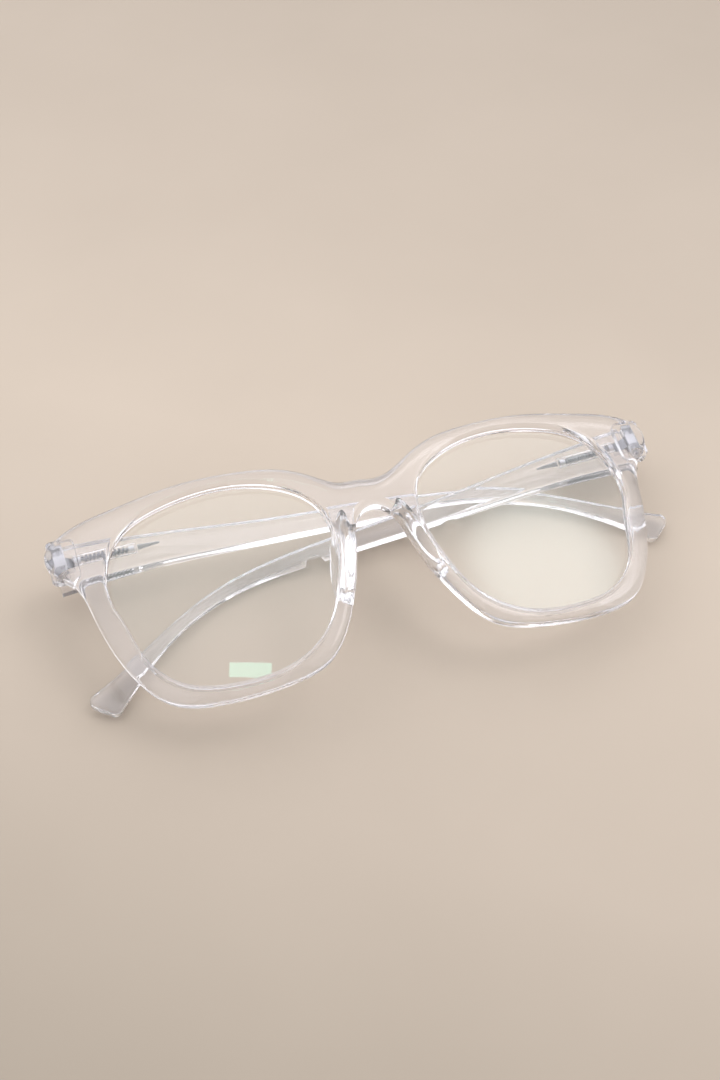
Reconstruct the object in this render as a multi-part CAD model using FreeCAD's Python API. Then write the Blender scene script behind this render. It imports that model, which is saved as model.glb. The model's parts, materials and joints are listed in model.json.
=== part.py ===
"""Clear plastic eyeglasses with spring-hinged temples, folded and lying face up.

Everything is modelled in the frame of the front: x to the viewer's right, y up the front,
z out of the front face, in millimetres.  The hinge pieces and the temples are modelled in
a hinge frame: u along the temple from the hinge axis, h up the hinge axis, w from the
temple's inner face to its outer face.  At the end all pieces are laid on the ground plane.
"""
import FreeCAD, Part
import math
import os

Vec = FreeCAD.Vector

# ---------------------------------------------------------------- driving dimensions
BEND_RADIUS = 238.0          # cylinder that the front face is bent to
FRONT_THICK = 4.2            # rim thickness, front face to back face
RIM_EDGE_R = 1.8             # rounding of the rim's outer edges, front and back
APERTURE_FRONT_R = 1.0       # rounding of the lens openings' front edge
APERTURE_BACK_R = 0.5
LENS_CENTRE_X = 35.0         # half the distance between the lens centres

LENS_SPHERE_R = 130.0        # front surface of a lens
LENS_THICK = 1.8
LENS_BITE = 0.7              # how far the lens reaches into the rim
GROOVE_GAP = 0.05            # clearance between lens and groove

HINGE_X = 68.0               # middle of the right hinge's axis
HINGE_Y = 17.8
HINGE_Z = -16.5
AXIS_LEAN = 5.0              # the axis leans back, which gives the open temple its slope
AXIS_ROLL = 2.6              # both axes roll the same way, so the folded temples pass
FLEX = 15.0                  # a temple can open this many degrees past square

EYE_R = 1.6                  # hinge eyes
EYE_PLAY = 0.06              # gap between neighbouring eyes
CENTRE_EYE_H = 2.6
OUTER_EYE_H = 1.8
SEAT_W = -1.8                # back of the end piece, measured from the hinge axis
LEAF_THICK = 0.8             # hinge leaf let into the end piece

SCREW_R = 0.70
SCREW_GAP = 0.05             # running clearance of the screw in the eyes
HEAD_R = 1.25
HEAD_H = 0.8

ROD_R = 0.50                 # spring plunger's rod
ROD_H = 0.8                  # its height above the middle of the hinge
ROD_W = 2.2                  # its depth behind the hinge axis
ROD_END = 16.8
NECK_END = 3.6
BUSH_FROM, BUSH_TO = 3.8, 4.8
SPRING_FROM, SPRING_TO = 5.0, 15.4
SPRING_R = 1.30              # outer radius of the coil
SPRING_WIRE_R = 0.24
SPRING_TURNS = 11
NUT_FROM, NUT_TO = 15.6, 16.8
NUT_R = 1.15
BORE_R = 1.42                # spring channel in the temple
BORE_END = 17.3
TAIL_FROM, TAIL_TO = 17.6, 22.6
TAIL_R, TAIL_TIP_R = 0.70, 0.25

TEMPLE_END_U = -1.4          # the temple's square end, just past the hinge axis
TEMPLE_EDGE_R = 0.7          # rounding of the temple's long edges
TEMPLE_TIP_R = 1.8           # rounding of the corners of its end
LIP_W = 1.9                  # the temple's end clears the eyes up to this depth
NOTCH_U = 2.0

TILT = 14.44                 # the top edge is raised by the temples under it
CANT = 1.33                  # one temple's bow lifts its side a little more

# ---------------------------------------------------------------- outlines
# Right half of the front's outline, from the top of the bridge round to its underside.
OUTER_HALF = [
    (5.5, 16.4), (11.0, 19.6), (17.0, 22.8), (27.0, 25.0), (40.0, 26.0), (55.0, 24.9),
    (67.0, 22.7), (71.3, 19.4), (70.3, 13.8), (66.6, 9.6), (64.3, 2.5), (62.4, -6.0),
    (58.4, -16.2), (52.2, -23.8), (42.0, -26.9), (29.0, -27.0), (18.6, -24.2), (12.2, -16.4),
    (8.2, -7.5), (5.6, 1.5), (3.4, 7.0)]
BRIDGE_TOP_Y = 15.9
BRIDGE_UNDER_Y = 8.7

# Right lens opening, measured from the lens centre, anticlockwise from its outer side.
APERTURE = [
    (23.8, 0.0), (24.5, 8.5), (19.0, 18.2), (9.5, 21.7), (-3.0, 22.3), (-14.5, 19.4),
    (-22.7, 12.9), (-24.8, 4.0), (-22.1, -8.3), (-17.3, -17.3), (-9.0, -22.7), (3.0, -23.6),
    (13.5, -20.6), (20.2, -12.6)]

# Temple outline (u, h): upper edge outwards, then lower edge back.
TEMPLE_UPPER = [
    (TEMPLE_END_U, 5.0), (20.0, 3.5), (45.0, 1.1), (75.0, -0.3), (91.0, -1.9), (103.0, -5.3),
    (115.0, -11.6), (139.6, -25.9)]
TEMPLE_LOWER = [
    (133.0, -31.2), (120.0, -18.6), (108.0, -10.8), (94.0, -6.0), (75.0, -4.9), (36.0, -4.9),
    (18.0, -4.7), (TEMPLE_END_U, -5.5)]
# Middle surface and thickness of the temple seen along the hinge axis (u, w, thickness).
TEMPLE_BOW = [
    (TEMPLE_END_U, 2.2, 3.6), (13.0, 2.2, 3.6), (25.0, 2.4, 3.1), (45.0, 3.9, 3.0),
    (65.0, 5.9, 3.0), (85.0, 7.75, 3.0), (100.0, 7.5, 2.8), (114.0, 5.8, 2.6), (128.0, 4.8, 2.5),
    (142.0, 3.6, 2.4)]


# ---------------------------------------------------------------- helpers
def closed_spline(points, z=0.0):
    """Smooth closed wire through the points."""
    curve = Part.BSplineCurve()
    curve.interpolate([Vec(x, y, z) for x, y in points], PeriodicFlag=True)
    return Part.Wire([curve.toShape()])


def open_spline(points):
    curve = Part.BSplineCurve()
    curve.interpolate(points)
    return curve.toShape()


def prism(wire, direction):
    return Part.Face(wire).extrude(direction)


def through(wire):
    """Prism on a wire in the x-y plane that runs well past the front, both ways."""
    block = prism(wire, Vec(0, 0, 40))
    block.translate(Vec(0, 0, -30))
    return block


def box(x0, x1, y0, y1, z0, z1):
    return Part.makeBox(x1 - x0, y1 - y0, z1 - z0, Vec(x0, y0, z0))


def rod(radius, u0, u1):
    """Cylinder on the plunger's line."""
    return Part.makeCylinder(radius, u1 - u0, Vec(u0, ROD_H, ROD_W), Vec(1, 0, 0))


def post(radius, h0, h1):
    """Cylinder on the hinge axis."""
    return Part.makeCylinder(radius, h1 - h0, Vec(0, h0, 0), Vec(0, 1, 0))


def bent_slab(depth_from, depth_to):
    """Shell bent about a vertical axis, between two depths behind the front face."""
    base = Vec(0, -60, -BEND_RADIUS)
    up = Vec(0, 1, 0)
    outer = Part.makeCylinder(BEND_RADIUS - depth_from, 120, base, up)
    inner = Part.makeCylinder(BEND_RADIUS - depth_to, 120, base, up)
    return outer.cut(inner)


def mirrored(shape):
    return shape.mirror(Vec(0, 0, 0), Vec(1, 0, 0))


def one_solid(shape):
    """The largest solid of a boolean result."""
    return max(shape.Solids, key=lambda s: s.Volume)


# ---------------------------------------------------------------- front
def outer_wire():
    left = [(-x, y) for x, y in reversed(OUTER_HALF)]
    return closed_spline([(0.0, BRIDGE_TOP_Y)] + OUTER_HALF + [(0.0, BRIDGE_UNDER_Y)] + left)


def aperture_wire(grow=0.0):
    """Lens opening, grown outwards by a distance measured from the lens centre."""
    points = []
    for x, y in APERTURE:
        k = 1.0 + grow / math.hypot(x, y)
        points.append((LENS_CENTRE_X + k * x, k * y))
    return closed_spline(points)


def lens_solid(grow, gap=0.0):
    """Meniscus between two spheres, square to the bent front at the lens centre."""
    slope = math.asin(LENS_CENTRE_X / BEND_RADIUS)
    normal = Vec(math.sin(slope), 0, math.cos(slope))
    apex = Vec(LENS_CENTRE_X, -0.5, BEND_RADIUS * (math.cos(slope) - 1)) + normal * 0.45
    centre = apex - normal * LENS_SPHERE_R
    outer = Part.makeSphere(LENS_SPHERE_R + gap, centre)
    inner = Part.makeSphere(LENS_SPHERE_R - LENS_THICK - gap, centre)
    return one_solid(through(aperture_wire(grow)).common(outer).cut(inner))


def pad_section(z, centre, half_length, half_width, lean):
    """One level of a nose pad: a flat oval that leans along the rim."""
    steps = 16
    points = []
    for i in range(steps):
        turn = 2 * math.pi * i / steps
        across = half_width * math.cos(turn)
        along = half_length * math.copysign(abs(math.sin(turn)) ** 0.7, math.sin(turn))
        points.append((centre[0] + across * math.cos(lean) - along * math.sin(lean),
                       centre[1] + across * math.sin(lean) + along * math.cos(lean)))
    return closed_spline(points, z)


def nose_pad():
    lean = math.radians(13)
    sections = [
        pad_section(-2.0, (8.8, -1.5), 12.2, 1.6, lean),
        pad_section(-5.5, (9.2, -0.8), 11.0, 1.8, lean),
        pad_section(-8.2, (9.9, -0.2), 8.8, 1.6, lean),
        pad_section(-9.6, (10.4, 0.2), 6.0, 0.9, lean)]
    return Part.makeLoft(sections, True, False)


def end_piece():
    """Block behind the outer top corner that carries the hinge."""
    block = box(64.0, 70.9, HINGE_Y - 5.8, HINGE_Y + 4.2, HINGE_Z - 4, HINGE_Z + 4.9)
    upright = [e for e in block.Edges if abs(e.tangentAt(e.FirstParameter).z) > 0.9]
    return block.makeFillet(1.4, upright)


def hinge_room():
    """What is cut away behind the end piece: flat under the leaf, sloped towards the outside."""
    room = box(-9, 9, -10, 10, SEAT_W, 20)
    slope = box(-12, 0, -10, 10, 0, 20)
    slope.rotate(Vec(0, 0, 0), Vec(0, 1, 0), -FLEX)
    slope.translate(Vec(-1.2, 0, SEAT_W))
    return room.fuse(slope)


def front_plate():
    hole = through(aperture_wire())
    plate = one_solid(through(outer_wire()).common(bent_slab(0.0, FRONT_THICK)))
    outer_edges = [e for e in plate.Edges if e.Length > 100]
    plate = plate.makeFillet(RIM_EDGE_R, outer_edges)
    plate = plate.cut(hole).cut(mirrored(hole))
    loops = [e for e in plate.Edges if 140 < e.Length < 170]
    loops.sort(key=lambda e: e.CenterOfMass.z)
    plate = plate.makeFillet(APERTURE_BACK_R, loops[:2])
    loops = [e for e in plate.Edges if 140 < e.Length < 170]
    loops.sort(key=lambda e: e.CenterOfMass.z)
    return plate.makeFillet(APERTURE_FRONT_R, loops[-2:])


# ---------------------------------------------------------------- hinge, right side
def front_hinge():
    """Leaf let into the end piece, with two eyes."""
    top = CENTRE_EYE_H / 2 + EYE_PLAY
    leaf = box(-1.2, 1.4, -3.4, 3.4, SEAT_W - LEAF_THICK, SEAT_W)
    shape = leaf
    for h0 in (top, -top - OUTER_EYE_H):
        shape = shape.fuse(post(EYE_R, h0, h0 + OUTER_EYE_H))
        shape = shape.fuse(box(-1.2, 1.2, h0, h0 + OUTER_EYE_H, SEAT_W, 0))
    return one_solid(shape.cut(post(SCREW_R + SCREW_GAP, -9, 9)))


def hinge_screw():
    top = CENTRE_EYE_H / 2 + EYE_PLAY + OUTER_EYE_H
    shape = post(SCREW_R, -top - 0.3, top + 0.3).fuse(post(HEAD_R, top + 0.03, top + HEAD_H))
    slot = box(-2, 2, top + HEAD_H - 0.35, top + HEAD_H + 1, -0.17, 0.17)
    return one_solid(shape.cut(slot))


def plunger():
    """Centre eye, neck and rod in one piece."""
    half = CENTRE_EYE_H / 2
    outline = [(-0.5, 1.5), (1.5, -0.4), (NECK_END, 1.0), (NECK_END, 3.1), (2.0, 3.1), (-0.5, 1.5)]
    neck = prism(Part.makePolygon([Vec(u, -half, w) for u, w in outline]), Vec(0, CENTRE_EYE_H, 0))
    shape = post(EYE_R, -half, half).fuse(neck).fuse(rod(ROD_R, NECK_END - 1, ROD_END))
    return one_solid(shape.cut(post(SCREW_R + SCREW_GAP, -9, 9)))


def coil_spring():
    pitch = (SPRING_TO - SPRING_FROM - 2 * SPRING_WIRE_R) / SPRING_TURNS
    radius = SPRING_R - SPRING_WIRE_R
    helix = Part.makeHelix(pitch, pitch * SPRING_TURNS, radius)
    ring = Part.Wire([Part.makeCircle(SPRING_WIRE_R, Vec(radius, 0, 0), Vec(0, 1, 0))])
    coil = Part.Wire(helix.Edges).makePipeShell([ring], True, True)
    coil.rotate(Vec(0, 0, 0), Vec(0, 1, 0), 90)
    coil.translate(Vec(SPRING_FROM + SPRING_WIRE_R, ROD_H, ROD_W))
    return one_solid(coil)


def stop_nut():
    return rod(NUT_R, NUT_FROM, NUT_TO).cut(rod(ROD_R, NUT_FROM - 1, NUT_TO + 1))


def bushing():
    return rod(BORE_R, BUSH_FROM, BUSH_TO).cut(rod(ROD_R + SCREW_GAP, BUSH_FROM - 1, BUSH_TO + 1))


def tail_pin():
    return Part.makeCone(TAIL_R, TAIL_TIP_R, TAIL_TO - TAIL_FROM,
                         Vec(TAIL_FROM, ROD_H, ROD_W), Vec(1, 0, 0))


# ---------------------------------------------------------------- temple, right side
def temple_blank():
    """Side outline pulled through the bowed thickness, with rounded edges."""
    upper = [Vec(u, h, 0) for u, h in TEMPLE_UPPER]
    lower = [Vec(u, h, 0) for u, h in TEMPLE_LOWER]
    side = Part.Wire([open_spline(upper), Part.makeLine(upper[-1], lower[0]),
                      open_spline(lower), Part.makeLine(lower[-1], upper[0])])
    side_block = prism(side, Vec(0, 0, 30))
    side_block.translate(Vec(0, 0, -10))
    tip = [e for e in side_block.Edges
           if abs(e.tangentAt(e.FirstParameter).z) > 0.9 and e.CenterOfMass.x > 100]
    side_block = side_block.makeFillet(TEMPLE_TIP_R, tip)
    inner = [Vec(u, -40, w - thick / 2) for u, w, thick in TEMPLE_BOW]
    outer = [Vec(u, -40, w + thick / 2) for u, w, thick in reversed(TEMPLE_BOW)]
    bow = Part.Wire([open_spline(inner), Part.makeLine(inner[-1], outer[0]),
                     open_spline(outer), Part.makeLine(outer[-1], inner[0])])
    blank = one_solid(side_block.common(prism(bow, Vec(0, 60, 0))))
    return blank.makeFillet(TEMPLE_EDGE_R, [e for e in blank.Edges if e.Length > 100])


def temple():
    shape = temple_blank()
    notch = box(-5, NOTCH_U, -9, 9, -5, LIP_W)
    half = CENTRE_EYE_H / 2 + 0.12
    slot = box(-5, NECK_END + 0.2, -half, half, -5, 3.3)
    bore = rod(BORE_R, NECK_END, BORE_END)
    for tool in (notch, slot, bore, tail_pin()):
        shape = shape.cut(tool)
    return one_solid(shape)


# ---------------------------------------------------------------- assembly
def to_front(shape, side):
    """Places a hinge-frame shape at the right (+1) or left (-1) hinge of the front."""
    shape = shape.copy()
    shape.rotate(Vec(0, 0, 0), Vec(0, 1, 0), 180)
    if side < 0:
        shape = mirrored(shape)
    shape.rotate(Vec(0, 0, 0), Vec(1, 0, 0), -AXIS_LEAN)
    shape.rotate(Vec(0, 0, 0), Vec(0, 0, 1), AXIS_ROLL)
    shape.translate(Vec(side * HINGE_X, HINGE_Y, HINGE_Z))
    return shape


def front_frame(leaves):
    shape = front_plate()
    for piece in (nose_pad(), end_piece()):
        shape = shape.fuse(piece).fuse(mirrored(piece))
    for side in (1, -1):
        shape = shape.cut(to_front(hinge_room(), side))
    groove = lens_solid(LENS_BITE + GROOVE_GAP, GROOVE_GAP)
    shape = shape.cut(groove).cut(mirrored(groove))
    for leaf in leaves:
        shape = shape.cut(leaf)
    return one_solid(shape)


def build():
    pieces = {}
    lens = lens_solid(LENS_BITE)
    pieces["lens_right"] = lens
    pieces["lens_left"] = mirrored(lens)
    hinge_parts = {
        "front_hinge": front_hinge(), "hinge_screw": hinge_screw(), "plunger": plunger(),
        "spring": coil_spring(), "stop_nut": stop_nut(), "bushing": bushing(),
        "tail_pin": tail_pin(), "temple": temple()}
    for word, side in (("right", 1), ("left", -1)):
        for name, shape in hinge_parts.items():
            pieces[word + "_" + name] = to_front(shape, side)
    pieces["front_frame"] = front_frame([pieces["right_front_hinge"], pieces["left_front_hinge"]])
    return pieces


def lay_down(pieces):
    """Tilts the folded glasses onto the ground and centres them over the origin."""
    points = []
    for shape in pieces.values():
        shape.rotate(Vec(0, 0, 0), Vec(1, 0, 0), TILT)
        shape.rotate(Vec(0, 0, 0), Vec(0, 1, 0), CANT)
        points.extend(shape.tessellate(0.01)[0])
    mid_x = (max(p.x for p in points) + min(p.x for p in points)) / 2
    mid_y = (max(p.y for p in points) + min(p.y for p in points)) / 2
    drop = min(p.z for p in points)
    for shape in pieces.values():
        shape.translate(Vec(-mid_x, -mid_y, -drop))


def main():
    os.makedirs("parts", exist_ok=True)
    pieces = build()
    lay_down(pieces)
    for name, shape in pieces.items():
        shape.exportStep("parts/" + name + ".step")


main()
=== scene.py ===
"""Looks for the folded clear eyeglasses: materials for the CAD nodes, floor, light, camera."""

import json
import math

import bpy
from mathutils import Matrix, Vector

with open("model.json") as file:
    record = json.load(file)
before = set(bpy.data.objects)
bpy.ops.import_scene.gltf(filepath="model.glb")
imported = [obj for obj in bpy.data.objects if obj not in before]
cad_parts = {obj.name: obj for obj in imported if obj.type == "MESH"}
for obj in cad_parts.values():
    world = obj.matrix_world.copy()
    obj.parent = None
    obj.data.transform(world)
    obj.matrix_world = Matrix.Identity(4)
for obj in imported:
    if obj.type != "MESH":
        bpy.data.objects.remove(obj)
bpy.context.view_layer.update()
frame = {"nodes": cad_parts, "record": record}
nodes = frame["nodes"]
scene = bpy.context.scene

# ------------------------------------------------------------------ values
ACETATE_IOR = 1.49
ACETATE_LOW, ACETATE_HIGH = (0.972, 0.968, 0.985), (0.993, 0.990, 1.0)
FRONT_CLEARNESS = 0.965      # the rest scatters, which gives the plastic its slight milkiness
TEMPLE_CLEARNESS = 0.945

LENS_IOR = 1.50
LENS_REFLECTION = 0.12       # a coated lens reflects much less than a bare one
LENS_COATING_TINT = (0.86, 1.0, 0.92, 1.0)
LENS_LOW, LENS_HIGH = (0.992, 0.990, 0.988), (1.0, 1.0, 1.0)

# Steels: name, darkest and lightest colour, smoothest and roughest finish, grain per metre.
STEELS = {
    "hinge_steel": ("steel_satin", (0.66, 0.66, 0.68), (0.88, 0.88, 0.90), (0.28, 0.45), 2500.0),
    "screw_steel": ("steel_polished", (0.60, 0.60, 0.62), (0.85, 0.85, 0.87), (0.10, 0.25), 3000.0),
    "spring_steel": ("steel_spring", (0.10, 0.10, 0.12), (0.30, 0.30, 0.33), (0.15, 0.30), 4000.0),
    "plunger_steel": ("steel_plunger", (0.14, 0.14, 0.15), (0.32, 0.32, 0.34), (0.22, 0.40), 2500.0),
    "dark_steel": ("steel_dark", (0.06, 0.06, 0.065), (0.16, 0.155, 0.16), (0.25, 0.45), 3000.0),
}
STEEL_GRAIN_STRETCH = (1.0, 9.0, 9.0)

FLOOR_SIZE = 8.0
FLOOR_LOW, FLOOR_HIGH = (0.532, 0.449, 0.361), (0.551, 0.466, 0.376)
FLOOR_ROUGHNESS = 0.85
# Painted light on the paper: lightest around the glasses and darker along this direction, both ways.
PAINTED_LIGHT_TOWARD = (0.574, 0.819, 0.0)
PAINTED_LIGHT_FROM, PAINTED_LIGHT_TO = -0.14, 0.26           # metres from the origin
PAINTED_LIGHT_START = (0.63, 0.63, 0.615, 1.0)
PAINTED_LIGHT_STEPS = ((0.20, 0.864), (0.45, 1.0), (0.62, 0.911))
PAINTED_LIGHT_END = (0.80, 0.80, 0.80, 1.0)

SKY_COLOUR = (0.965, 0.96, 1.0, 1.0)
# Glows: direction, cosines where the glow starts and is full, strength outside and inside.
WINDOW_GLOW = ((0.577, -0.012, 0.816), (0.93, 0.985), (0.0, 2.6))
ROOM_GLOW = ((-0.1, 0.9, 0.45), (0.0, 0.9), (0.78, 1.85))

LAMP_PLACE = (-0.177, -0.204, 0.98)
LAMP_AIM = (-0.036, -0.020, 0.013)         # the left lens
LAMP_SIZE = (0.17, 0.06)
LAMP_POWER = 0.12
LAMP_TURN = 18.0                           # degrees about its own beam
LAMP_COLOUR = (0.44, 1.0, 0.84)

CAMERA_PLACE = (-0.07171, -0.22023, 0.28262)
CAMERA_TURN = (41.467, 0.281, -17.175)     # degrees, XYZ
CAMERA_SENSOR = 36.0                       # millimetres
CAMERA_LENS = 53.33
CAMERA_NEAR = 0.01
CLEAR_BOUNCES = 32                         # a ray crosses many clear surfaces at the hinges
GLOSSY_BOUNCES = 12


# ------------------------------------------------------------------ node helpers
def new_material(name):
    """A material with an untouched Principled shader; returns (material, nodes, links, shader)."""
    mat = bpy.data.materials.new(name)
    mat.use_nodes = True
    tree = mat.node_tree
    return mat, tree.nodes, tree.links, tree.nodes["Principled BSDF"]


def noise(tree_nodes, links, scale, detail=3.0, stretch=(1.0, 1.0, 1.0)):
    """Noise in object space, scaled in repeats per metre; returns its factor socket."""
    coords = tree_nodes.new("ShaderNodeTexCoord")
    mapping = tree_nodes.new("ShaderNodeMapping")
    mapping.inputs["Scale"].default_value = stretch
    texture = tree_nodes.new("ShaderNodeTexNoise")
    texture.inputs["Scale"].default_value = scale
    texture.inputs["Detail"].default_value = detail
    links.new(coords.outputs["Object"], mapping.inputs["Vector"])
    links.new(mapping.outputs["Vector"], texture.inputs["Vector"])
    return texture.outputs["Fac"]


def ramp(tree_nodes, links, factor, low, high, start=0.35, end=0.65):
    """Colour ramp between two colours."""
    node = tree_nodes.new("ShaderNodeValToRGB")
    node.color_ramp.elements[0].position = start
    node.color_ramp.elements[1].position = end
    node.color_ramp.elements[0].color = (*low, 1.0)
    node.color_ramp.elements[1].color = (*high, 1.0)
    links.new(factor, node.inputs["Fac"])
    return node.outputs["Color"]


def spread(tree_nodes, links, factor, low, high):
    """Maps a 0-1 factor onto a range of numbers."""
    node = tree_nodes.new("ShaderNodeMapRange")
    node.inputs["To Min"].default_value = low
    node.inputs["To Max"].default_value = high
    links.new(factor, node.inputs["Value"])
    return node.outputs["Result"]


def bump(tree_nodes, links, height, shader, strength, distance):
    """Surface relief from a height; the distance is in metres."""
    node = tree_nodes.new("ShaderNodeBump")
    node.inputs["Strength"].default_value = strength
    node.inputs["Distance"].default_value = distance
    links.new(height, node.inputs["Height"])
    links.new(node.outputs["Normal"], shader.inputs["Normal"])


# ------------------------------------------------------------------ materials
def clear_plastic(name, clearness):
    """Polished acetate: clear, faintly lilac, with slight waviness and fine handling marks."""
    mat, tree_nodes, links, shader = new_material(name)
    shader.inputs["Transmission Weight"].default_value = clearness
    shader.inputs["IOR"].default_value = ACETATE_IOR
    patches = noise(tree_nodes, links, 60.0)
    tint = ramp(tree_nodes, links, patches, ACETATE_LOW, ACETATE_HIGH)
    links.new(tint, shader.inputs["Base Color"])
    marks = noise(tree_nodes, links, 900.0, 5.0)
    links.new(spread(tree_nodes, links, marks, 0.0, 0.05), shader.inputs["Roughness"])
    waves = noise(tree_nodes, links, 110.0, 1.0)
    bump(tree_nodes, links, waves, shader, 0.12, 0.0004)
    return mat


def coated_lens():
    """Clear lens with a faintly green anti-reflection coating."""
    mat, tree_nodes, links, shader = new_material("lens_coated")
    shader.inputs["Transmission Weight"].default_value = 1.0
    shader.inputs["IOR"].default_value = LENS_IOR
    shader.inputs["Specular IOR Level"].default_value = LENS_REFLECTION
    shader.inputs["Specular Tint"].default_value = LENS_COATING_TINT
    tint = ramp(tree_nodes, links, noise(tree_nodes, links, 25.0), LENS_LOW, LENS_HIGH)
    links.new(tint, shader.inputs["Base Color"])
    marks = noise(tree_nodes, links, 250.0, 6.0)
    links.new(spread(tree_nodes, links, marks, 0.0, 0.006), shader.inputs["Roughness"])
    return mat


def steel(name, low, high, finish, grain):
    """Metal with fine drawn or ground grain."""
    mat, tree_nodes, links, shader = new_material(name)
    shader.inputs["Metallic"].default_value = 1.0
    lines = noise(tree_nodes, links, grain, 6.0, STEEL_GRAIN_STRETCH)
    links.new(ramp(tree_nodes, links, lines, low, high, 0.3, 0.7), shader.inputs["Base Color"])
    links.new(spread(tree_nodes, links, lines, *finish), shader.inputs["Roughness"])
    bump(tree_nodes, links, lines, shader, 0.25, 0.00004)
    return mat


def finish_nodes():
    """Gives every CAD node the material of its slot."""
    finishes = {
        "clear_frame": clear_plastic("acetate_front", FRONT_CLEARNESS),
        "clear_temple": clear_plastic("acetate_temple", TEMPLE_CLEARNESS),
        "lens": coated_lens(),
    }
    for slot, values in STEELS.items():
        finishes[slot] = steel(*values)
    for part in frame["record"]["subparts"]:
        mesh = nodes[part["node"]].data
        mesh.materials.clear()
        mesh.materials.append(finishes[part["material_slot"]])
    # The thin lenses would otherwise darken the floor and the plastic below them.
    for side in ("left", "right"):
        lens = nodes["lens_" + side]
        lens.visible_shadow = False
        lens.visible_diffuse = False


# ------------------------------------------------------------------ floor
def painted_light_on_paper(tree_nodes, links):
    """Painted light on the paper: its brightness along the painted light direction set above, as a
    grey colour.
    """
    place = tree_nodes.new("ShaderNodeTexCoord")
    along = tree_nodes.new("ShaderNodeVectorMath")
    along.operation = "DOT_PRODUCT"
    along.inputs[1].default_value = PAINTED_LIGHT_TOWARD
    links.new(place.outputs["Object"], along.inputs[0])
    depth = tree_nodes.new("ShaderNodeMapRange")
    depth.inputs["From Min"].default_value = PAINTED_LIGHT_FROM
    depth.inputs["From Max"].default_value = PAINTED_LIGHT_TO
    links.new(along.outputs["Value"], depth.inputs["Value"])
    # Painted light: this ramp makes the paper brighter near the glasses and darker further off.
    painted_light_ramp = tree_nodes.new("ShaderNodeValToRGB")
    painted_light_ramp.color_ramp.elements[0].color = PAINTED_LIGHT_START
    painted_light_ramp.color_ramp.elements[1].color = PAINTED_LIGHT_END
    for position, level in PAINTED_LIGHT_STEPS:
        painted_light_ramp.color_ramp.elements.new(position).color = (level, level, level, 1.0)
    links.new(depth.outputs["Result"], painted_light_ramp.inputs["Fac"])
    return painted_light_ramp.outputs["Color"]


def paper():
    """Matt warm grey paper with soft patches and a fine tooth, multiplied by a painted light
    falloff.
    """
    mat, tree_nodes, links, shader = new_material("paper_with_painted_light")
    patches = ramp(tree_nodes, links, noise(tree_nodes, links, 14.0, 4.0), FLOOR_LOW, FLOOR_HIGH)
    # The paper's own patches are multiplied by the painted light falloff.
    shade = tree_nodes.new("ShaderNodeVectorMath")
    shade.operation = "MULTIPLY"
    links.new(patches, shade.inputs[0])
    links.new(painted_light_on_paper(tree_nodes, links), shade.inputs[1])
    links.new(shade.outputs["Vector"], shader.inputs["Base Color"])
    shader.inputs["Roughness"].default_value = FLOOR_ROUGHNESS
    tooth = noise(tree_nodes, links, 1800.0, 4.0)
    bump(tree_nodes, links, tooth, shader, 0.06, 0.00003)
    return mat


def add_floor():
    """One large square on the ground plane."""
    half = FLOOR_SIZE / 2
    corners = [(-half, -half, 0), (half, -half, 0), (half, half, 0), (-half, half, 0)]
    mesh = bpy.data.meshes.new("floor")
    mesh.from_pydata(corners, [], [(0, 1, 2, 3)])
    mesh.materials.append(paper())
    floor = bpy.data.objects.new("floor", mesh)
    scene.collection.objects.link(floor)


# ------------------------------------------------------------------ light
def sky_glow(sky, toward, cosines, strengths):
    """Strength that rises around a direction, with a soft edge."""
    coords = sky.nodes.new("ShaderNodeTexCoord")
    dot = sky.nodes.new("ShaderNodeVectorMath")
    dot.operation = "DOT_PRODUCT"
    dot.inputs[1].default_value = Vector(toward).normalized()
    edge = sky.nodes.new("ShaderNodeMapRange")
    edge.interpolation_type = "SMOOTHSTEP"
    edge.inputs["From Min"].default_value, edge.inputs["From Max"].default_value = cosines
    edge.inputs["To Min"].default_value, edge.inputs["To Max"].default_value = strengths
    sky.links.new(coords.outputs["Generated"], dot.inputs[0])
    sky.links.new(dot.outputs["Value"], edge.inputs["Value"])
    return edge.outputs["Result"]


def add_sky():
    """A broad window to the right and a brighter room behind the glasses."""
    world = bpy.data.worlds.new("studio")
    scene.world = world
    world.use_nodes = True
    sky = world.node_tree
    background = sky.nodes["Background"]
    background.inputs["Color"].default_value = SKY_COLOUR
    total = sky.nodes.new("ShaderNodeMath")
    total.operation = "ADD"
    sky.links.new(sky_glow(sky, *WINDOW_GLOW), total.inputs[0])
    sky.links.new(sky_glow(sky, *ROOM_GLOW), total.inputs[1])
    sky.links.new(total.outputs["Value"], background.inputs["Strength"])


def add_lamp():
    """A small lamp overhead that the left lens mirrors towards the viewer."""
    data = bpy.data.lights.new("lamp_small", "AREA")
    data.shape = "RECTANGLE"
    data.size, data.size_y = LAMP_SIZE
    data.energy = LAMP_POWER
    data.color = LAMP_COLOUR
    lamp = bpy.data.objects.new("lamp_small", data)
    lamp.location = LAMP_PLACE
    beam = Vector(LAMP_AIM) - Vector(LAMP_PLACE)
    lamp.rotation_euler = beam.to_track_quat("-Z", "Y").to_euler()
    lamp.rotation_euler.rotate_axis("Z", math.radians(LAMP_TURN))
    scene.collection.objects.link(lamp)


# ------------------------------------------------------------------ camera
def add_camera():
    data = bpy.data.cameras.new("camera")
    data.sensor_width = CAMERA_SENSOR
    data.lens = CAMERA_LENS
    data.clip_start = CAMERA_NEAR
    camera = bpy.data.objects.new("camera", data)
    camera.location = CAMERA_PLACE
    camera.rotation_euler = [math.radians(angle) for angle in CAMERA_TURN]
    scene.collection.objects.link(camera)
    scene.camera = camera


finish_nodes()
add_floor()
add_sky()
add_lamp()
add_camera()
scene.view_settings.view_transform = "Standard"
scene.cycles.max_bounces = CLEAR_BOUNCES
scene.cycles.transmission_bounces = CLEAR_BOUNCES
scene.cycles.glossy_bounces = GLOSSY_BOUNCES
